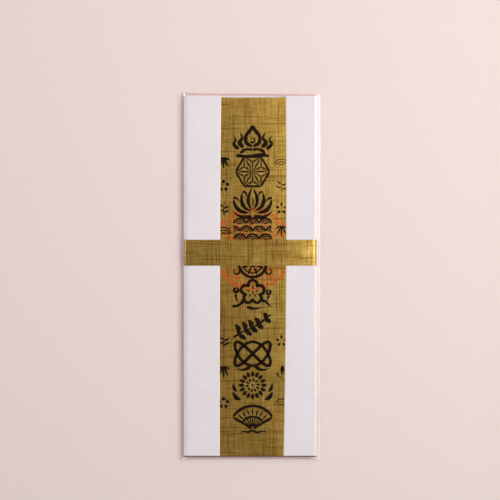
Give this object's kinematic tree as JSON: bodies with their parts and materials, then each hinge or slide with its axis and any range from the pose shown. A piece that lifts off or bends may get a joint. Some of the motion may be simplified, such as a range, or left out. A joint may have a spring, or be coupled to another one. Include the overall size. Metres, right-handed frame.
{
  "type": "wrapped shrine talisman",
  "caption": "Slim upright talisman: a gold-faced board in a folded white paper wrapper with a gold band, held in a tight clear film sleeve.",
  "frame": {"origin": "the middle of the whole object's underside, where the sleeve's back lies on the surface", "axes": "+Z out of the front face, +Y along the length towards the open top end, +X to the right of the front"},
  "size_m": [0.0942, 0.25, 0.0048],
  "materials": {
    "board_wood": "matte",
    "gold_sheet": "satin",
    "liner_paper": "matte",
    "slip_paper": "matte",
    "wrapper_paper": "matte",
    "gold_band_sheet": "satin",
    "dried_glue": "satin",
    "clear_film": "polished"
  },
  "bodies": {
    "sleeve": {"clear_sleeve": "clear_film"},
    "wrapper": {"paper_wrapper": "wrapper_paper"},
    "band": {"gold_band": "gold_band_sheet", "band_adhesive": "dried_glue"},
    "board": {"core_board": "board_wood", "gold_facing": "gold_sheet", "back_liner": "liner_paper", "prayer_slip": "slip_paper"}
  },
  "joints": [
    {"name": "talisman_out", "type": "slide", "parent": "sleeve", "child": "wrapper", "axis": [0, 1, 0], "range_m": [0, 0.255]},
    {"name": "band_slide", "type": "slide", "parent": "wrapper", "child": "band", "axis": [0, 1, 0], "range_m": [-0.128, 0.14]},
    {"name": "board_out", "type": "slide", "parent": "wrapper", "child": "board", "axis": [0, 1, 0], "range_m": [0, 0.25]}
  ]
}
